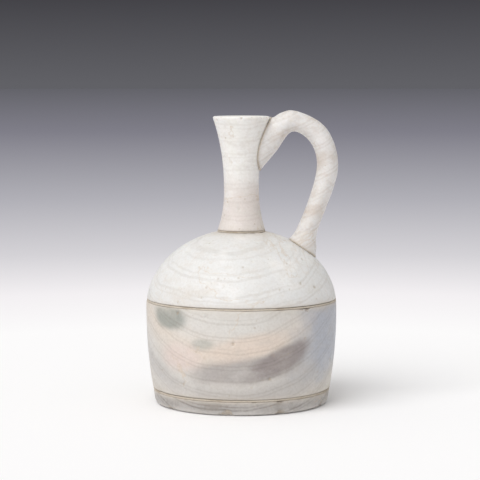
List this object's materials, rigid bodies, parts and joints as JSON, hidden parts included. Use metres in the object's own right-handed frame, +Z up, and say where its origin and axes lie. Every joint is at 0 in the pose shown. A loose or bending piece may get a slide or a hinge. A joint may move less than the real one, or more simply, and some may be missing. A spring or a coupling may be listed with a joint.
{
  "type": "jug",
  "caption": "Small flat-bottomed stone jug with a domed shoulder, a narrow flaring neck and one high loop handle.",
  "frame": {"origin": "on the jug's axis, on the flat underside of its foot", "axes": "+Z up along the jug's axis to the mouth, +X towards the handle, +Y away from the viewer of the picture"},
  "size_m": [0.1071, 0.1066, 0.1633],
  "materials": {
    "foot_stone": "worn, softly polished banded travertine, grey",
    "banded_stone": "softly polished travertine with cream, honey and grey bands",
    "pale_stone": "softly polished cream travertine",
    "handle_stone": "softly polished cream travertine, a little greyer",
    "cement": "matt lime and resin cement"
  },
  "bodies": {
    "root": {"foot_disc": "foot_stone", "foot_cement": "cement", "drum": "banded_stone", "waist_cement": "cement", "shoulder": "pale_stone", "neck_cement": "cement", "neck": "pale_stone", "handle": "handle_stone", "handle_upper_cement": "cement", "handle_lower_cement": "cement"}
  },
  "joints": []
}
